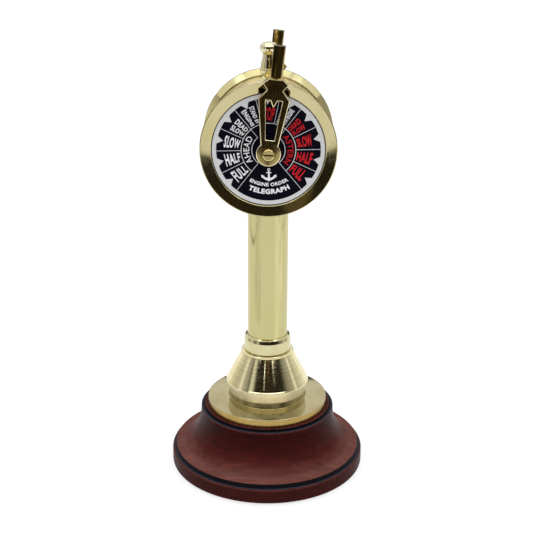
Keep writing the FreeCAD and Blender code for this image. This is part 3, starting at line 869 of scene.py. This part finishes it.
def lever_plate():
    """The casting: round hub, two legs round a window with a pointer, shoulders, waist and wings."""
    back, front = lever_middle() - PLATE_T / 2, lever_middle() + PLATE_T / 2
    start, steps = math.degrees(math.atan2(LEVER_HALF[0][1], LEVER_HALF[0][0])), 40
    hub = [polar(HUB_R, t) for t in [180 - start + k * (180 + 2 * start) / steps for k in range(1, steps)]]
    outline = LEVER_HALF + [(-x, u) for x, u in reversed(LEVER_HALF)] + hub
    bm = bmesh.new()
    for loop in (outline, WINDOW):
        verts = [bm.verts.new((x, u, back)) for x, u in loop]
        for a, b in zip(verts, verts[1:] + verts[:1]):
            bm.edges.new((a, b))
    bmesh.ops.triangle_fill(bm, use_beauty=True, use_dissolve=False, edges=bm.edges)
    raised = bmesh.ops.extrude_face_region(bm, geom=list(bm.faces))
    moved = [g for g in raised["geom"] if isinstance(g, bmesh.types.BMVert)]
    bmesh.ops.translate(bm, vec=(0, 0, front - back), verts=moved)
    # The chamfers take the third material, the bright copy that paints their highlight.
    chamfer(bm, 0.6, lambda edge: all(v.co.z > front - 0.01 for v in edge.verts), 3, 2)
    return bm


def chamfer(bm, width, chosen, segments=1, finish=-1):
    """Cut, or round with more segments, the chosen sharp edges, in another finish if one is given."""
    bmesh.ops.recalc_face_normals(bm, faces=bm.faces)
    sharp = [e for e in bm.edges if len(e.link_faces) == 2 and e.calc_face_angle() > 0.6 and chosen(e)]
    bmesh.ops.bevel(bm, geom=sharp, offset=width, segments=segments, affect="EDGES", profile=0.5,
                    material=finish)


def lever_bar():
    """Eight-sided grip, a little slimmer at its foot, its sawn end in the second finish."""
    bm = bmesh.new()
    middle, top = lever_middle(), GRIP_TOP
    sections = []
    for u, half_w, half_d in ((44.2, 3.4, 2.3), (46.2, 3.5, 2.48), (top, 3.52, 2.5)):
        front_half = [(-half_w, half_d - 0.5), (-half_w + 1.2, half_d), (half_w - 1.2, half_d),
                      (half_w, half_d - 0.5)]
        corners = front_half + [(x, -d) for x, d in reversed(front_half)]
        sections.append([bm.verts.new((x, u, middle + d)) for x, d in corners])
    for low, high in zip(sections, sections[1:]):
        for k in range(8):
            n = (k + 1) % 8
            bm.faces.new((low[k], low[n], high[n], high[k]))
    bm.faces.new(sections[0])
    bm.faces.new(sections[-1])
    chamfer(bm, 0.12, lambda edge: all(v.co.y > top - 0.01 for v in edge.verts))
    for face in bm.faces:
        face.material_index = int(all(v.co.y > top - 0.2 for v in face.verts))
    return bm


def lever(side):
    name = "front_lever" if side == FRONT else "rear_lever"
    bm = joined([lever_plate(), lever_bar()])
    turn = (0 if side == FRONT else math.pi) - lever_rest_turn() * side
    bmesh.ops.rotate(bm, cent=(0, 0, 0), matrix=Matrix.Rotation(turn, 3, "Z"), verts=bm.verts)
    on_shaft(bm, side)
    # Second material: the sawn grip end. Third: the bright copy that paints a highlight on the chamfers.
    piece = make_object(name + "_casting", mesh_of(bm, name), "lever_brass", "sawn", "lever_highlight_edge")
    return settle(smooth_shaded(piece, 25), "lever_set", [name])


# ------------------------------------ carried-over CAD pieces

def finish_cad_nodes():
    slots = {s["node"]: s["material_slot"] for s in frame["record"]["subparts"]}
    for node, piece in frame["nodes"].items():
        slot = slots[node]
        piece.data.materials.clear()
        screw = node.endswith("lever_screw")
        piece.data.materials.append(MATERIALS["screw" if screw else SLOT_MATERIALS.get(slot, slot)])
        if screw:
            worn_edges = piece.modifiers.new("worn_edges", "BEVEL")
            worn_edges.width, worn_edges.segments, worn_edges.limit_method = 0.22 * MM, 3, "ANGLE"


# ------------------------------------ camera, light and floor

CAMERA_TARGET = Vector((-0.00085, 0, 0.1372))
CAMERA_DISTANCE = 0.7089
CAMERA_PITCH = math.radians(19.78)
CAMERA_ROLL = math.radians(0.26)
CAMERA_LENS = 74.3

SHEET_END = 0.76         # how far forward the white sheet ends, straight in front
SHEET_SIDES = 1.3        # the same towards the sides, from SHEET_TURN on
SHEET_TURN = 50
SHEET_CURVE = 0.63       # how fast the end moves out between the two
SHEET_SKEW = 0.15        # how much farther it is on the right
ROOM_REACH = 1.35        # greatest distance of the room's wall
ROOM_TURN = 128          # degrees that the wall reaches round from straight in front
ROOM_RISE = 0.6          # slope of the line of sight to the wall's top
ROOM_FOOT = 0.07         # height that lines of sight start from
ON_FLOOR = 0.002


def camera():
    data = bpy.data.cameras.new("camera")
    data.lens = CAMERA_LENS
    holder = linked("camera", data)
    back = Vector((0, -math.cos(CAMERA_PITCH), math.sin(CAMERA_PITCH)))
    right = Vector((1, 0, 0))
    up = back.cross(right)
    rolled_right = math.cos(CAMERA_ROLL) * right + math.sin(CAMERA_ROLL) * up
    rolled_up = back.cross(rolled_right)
    turn = Matrix((rolled_right, rolled_up, back)).transposed().to_4x4()
    holder.matrix_world = Matrix.Translation(CAMERA_TARGET + back * CAMERA_DISTANCE) @ turn
    bpy.context.scene.camera = holder


def area_light(name, place, aim, width, height, power):
    data = bpy.data.lights.new(name, "AREA")
    data.shape = "RECTANGLE"
    data.size, data.size_y = width, height
    data.energy = power
    holder = linked(name, data)
    holder.location = place
    holder.rotation_euler = (Vector(aim) - Vector(place)).to_track_quat("-Z", "Y").to_euler()
    return holder


def card(name, material, corners, faces=None):
    mesh = bpy.data.meshes.new(name)
    mesh.from_pydata(corners, [], faces or [list(range(len(corners)))])
    piece = linked(name, mesh)
    mesh.materials.append(material)
    return piece


def glow_material(name, colour_of, strength=1.0):
    """Plain light, its colour made from object coordinates by colour_of."""
    material, tree, shader = new_material(name)
    tree.nodes.remove(shader)
    glow = tree.nodes.new("ShaderNodeEmission")
    glow.inputs["Strength"].default_value = strength
    coords = tree.nodes.new("ShaderNodeTexCoord")
    tree.links.new(colour_of(tree, coords.outputs["Object"]), glow.inputs["Color"])
    tree.links.new(glow.outputs["Emission"], tree.nodes["Material Output"].inputs["Surface"])
    return material


WALL_TONES = [(-128, 0.95), (-100, 0.55), (-88, 0.6), (-81, 1.0), (-74, 0.5), (-62, 0.32), (-56, 0.14),
              (-51, 0.75), (-44, 0.62), (-38, 0.12), (-33, 0.0), (47, 0.0), (54, 0.1), (61, 0.26),
              (72, 0.38), (80, 0.45), (86, 1.0), (94, 0.5), (128, 0.95)]


def room_colour(tree, coords):
    """Dim brown and olive in front, streaky half light at the sides, by the direction from the column."""
    split = tree.nodes.new("ShaderNodeSeparateXYZ")
    tree.links.new(coords, split.inputs[0])
    forward = maths(tree, "MULTIPLY", split.outputs["Y"], -1)
    turn = maths(tree, "ARCTAN2", split.outputs["X"], forward)
    patches = noise(tree, coords, 2.6, 2.0, 0.5)
    dim = ramp(tree, patches, [(0.35, (0.013, 0.012, 0.009)), (0.5, (0.026, 0.023, 0.016)),
                                       (0.62, (0.04, 0.027, 0.016)), (0.72, (0.02, 0.018, 0.015))])
    stops = [(degrees / (2 * ROOM_TURN) + 0.5, tone) for degrees, tone in WALL_TONES]
    reach = math.radians(ROOM_TURN)
    tone = ramp(tree, spread(tree, turn, -reach, reach, 0.0, 1.0), stops)
    return mixed(tree, tone, dim, (1.04, 1.03, 0.98))


def softbox_colour(tree, coords):
    """Uneven bright window."""
    return ramp(tree, noise(tree, coords, 1.3, 1.0, 0.4),
                [(0.35, 0.45), (0.5, 0.75), (0.65, 1.0)])


def even_colour(colour):
    """Maker of a nearly even colour, a little darker in patches."""
    darker = tuple(0.8 * c for c in colour)

    def colour_of(tree, coords):
        return ramp(tree, noise(tree, coords, 8.0, 1.0), [(0.3, darker), (0.7, colour)])
    return colour_of


def floor_material():
    material, tree, shader = new_material("pale_floor")
    mottle = noise(tree, object_coords(tree), 0.01, 2.0)
    tree.links.new(ramp(tree, mottle, [(0.3, 0.34), (0.7, 0.36)]), shader.inputs["Base Color"])
    shader.inputs["Roughness"].default_value = 0.8
    shader.inputs["Emission Color"].default_value = (1, 1, 1, 1)
    shader.inputs["Emission Strength"].default_value = 0.68
    return material


def hidden_card(name, material, corners, faces=None):
    """Card, or strip of cards, that only shows in the brass."""
    piece = card(name, material, corners, faces)
    piece.visible_camera = False
    piece.visible_diffuse = False
    piece.visible_shadow = False


def around(degrees, distance):
    """Plan point at that distance, turned that far to the right of straight in front."""
    turn = math.radians(degrees)
    return distance * math.sin(turn), -distance * math.cos(turn)


def direction_card(name, turn, rise, width, height, distance, material):
    """Small upright card seen that many degrees round and up from ROOM_FOOT above the middle."""
    across = Vector((*polar(1, turn), 0)) * width / 2
    middle = Vector((*around(turn, 1), math.tan(math.radians(rise))))
    middle = middle * distance + Vector((0, 0, ROOM_FOOT))
    up = Vector((0, 0, height / 2))
    corners = [middle - across - up, middle + across - up, middle + across + up, middle - across + up]
    hidden_card(name, material, corners)


def upright(plan, foot, tops):
    """Corners and faces of a wall along these plan points, from its foot up to each point's top."""
    count = len(plan)
    corners = [(x, y, foot) for x, y in plan] + [(x, y, top) for (x, y), top in zip(plan, tops)]
    return corners, [(k, k + 1, count + k + 1, count + k) for k in range(count - 1)]


def window_strip():
    """Curved window above the wall."""
    plan = [around(turn, 1.2) for turn in range(-62, 63, 4)]
    return upright(plan, 0.72, [2.0] * len(plan))


def back_strip():
    """Low dim wall behind the object, nearer on the right."""
    start = 140
    plan = [around(turn, 0.9 + 0.003 * (turn - start)) for turn in range(start, 221, 5)]
    return upright(plan, ON_FLOOR, [0.42] * len(plan))


def wall_strip():
    """Wall that stands where the white sheet ends."""
    plan, tops = [], []
    for degrees in range(-ROOM_TURN, ROOM_TURN + 1, 4):
        turn = math.radians(degrees)
        towards = math.cos(turn) - SHEET_SKEW * math.sin(turn)
        share = min(1, abs(degrees) / SHEET_TURN) ** SHEET_CURVE
        widened = SHEET_END + (SHEET_SIDES - SHEET_END) * share
        distance = min(ROOM_REACH, widened / towards) if towards > 0 else ROOM_REACH
        plan.append(around(degrees, distance))
        tops.append(ROOM_FOOT + ROOM_RISE * distance)
    return upright(plan, ON_FLOOR, tops)


def rectangle(x_low, x_high, y_low, y_high, z):
    return [(x_low, y_low, z), (x_high, y_low, z), (x_high, y_high, z), (x_low, y_high, z)]


def room():
    """The room's wall beyond the white sheet, and the window above it."""
    hidden_card("room_wall", glow_material("dim_room", room_colour), *wall_strip())
    hidden_card("window", glow_material("window_light", softbox_colour, 2.6), *window_strip())


def front_cards():
    """Furniture and small lights in front of the object."""
    y, shelf = -0.8, glow_material("shelf", even_colour((0.16, 0.125, 0.065)))
    hidden_card("shelf", shelf, [(-0.09, y, 0.1), (0.0, y, 0.105), (0.0, y, 0.14), (-0.09, y, 0.135)])
    hidden_card("door", shelf, [(0.005, y, 0.145), (0.04, y, 0.145), (0.04, y, 0.2), (0.005, y, 0.2)])
    glint = glow_material("glint", even_colour((1, 1, 1)), 3.5)
    direction_card("glint_left", -9.5, 27.9, 0.03, 0.026, 0.8, glint)
    direction_card("glint_right", 21, 28.2, 0.03, 0.014, 0.8, glint)
    warm = glow_material("warm", even_colour((0.4, 0.13, 0.03)))
    direction_card("warm_lamp", 3, 29.0, 0.07, 0.02, 0.8, warm)


def back_and_lamps():
    """The wall behind the object, and high lamps at the front corners, which show in the rear bezel."""
    hidden_card("back_room", glow_material("back_room", even_colour((0.12, 0.12, 0.09))), *back_strip())
    lamp = glow_material("lamp", even_colour((1, 1, 1)), 5)
    direction_card("lamp_left", -46.2, 54.7, 0.13, 0.5, 0.68, lamp)
    direction_card("lamp_right_high", 49.6, 52.3, 0.1, 0.5, 0.71, lamp)
    direction_card("lamp_right_low", 59.4, 44.5, 0.09, 0.4, 0.825, lamp)


def floor_cards():
    """Brighter and duller stretches of the sheet, and its dark side edges."""
    z = 0.003
    bright = [(0.14, -0.16), (0.42, -0.5), (0.85, -0.2), (0.3, 0.05)]
    dull = [(-0.16, -0.2), (-0.42, -0.5), (-0.7, -0.22), (-0.28, -0.04)]
    for name, tone, plan in (("bright_floor", 1.4, bright), ("dull_floor", 1.12, dull)):
        hidden_card(name, glow_material(name, even_colour((1, 1, 1)), tone), [(x, y, z) for x, y in plan])
    edge = glow_material("sheet_edge", even_colour((0.06, 0.055, 0.045)))
    for name, x, width in (("sheet_edge_left", -0.475, 0.012), ("sheet_edge_right", 0.515, 0.006)):
        hidden_card(name, edge, rectangle(x, x + width, -0.55, 0.6, z))


def stage():
    """Pale floor, and what the brass reflects."""
    card("floor", floor_material(), rectangle(-4, 4, -4, 4, 0))
    room()
    front_cards()
    back_and_lamps()
    floor_cards()


def lights():
    world = bpy.data.worlds.new("world")
    world.use_nodes = True
    background = world.node_tree.nodes["Background"]
    background.inputs["Color"].default_value = (1, 1, 1, 1)
    background.inputs["Strength"].default_value = 1.04
    bpy.context.scene.world = world
    area_light("overhead", (0, 0.1, 1.5), (0, 0, 0.1), 1.2, 1.2, 4)
    area_light("left_strip", (-0.9, -1.1, 0.9), (0, 0, 0.15), 0.25, 1.2, 1)
    area_light("right_strip", (1.0, -0.9, 0.9), (0, 0, 0.15), 0.25, 1.2, 1)


finish_cad_nodes()
wood_base()
foot_flange()
pedestal_cone()
column_collar()
column_tube()
drum_shell()
finial()
for facing in (FRONT, REAR):
    bezel(facing)
    dial(facing)
    lever(facing)
camera()
stage()
lights()
bpy.context.scene.view_settings.view_transform = "Standard"
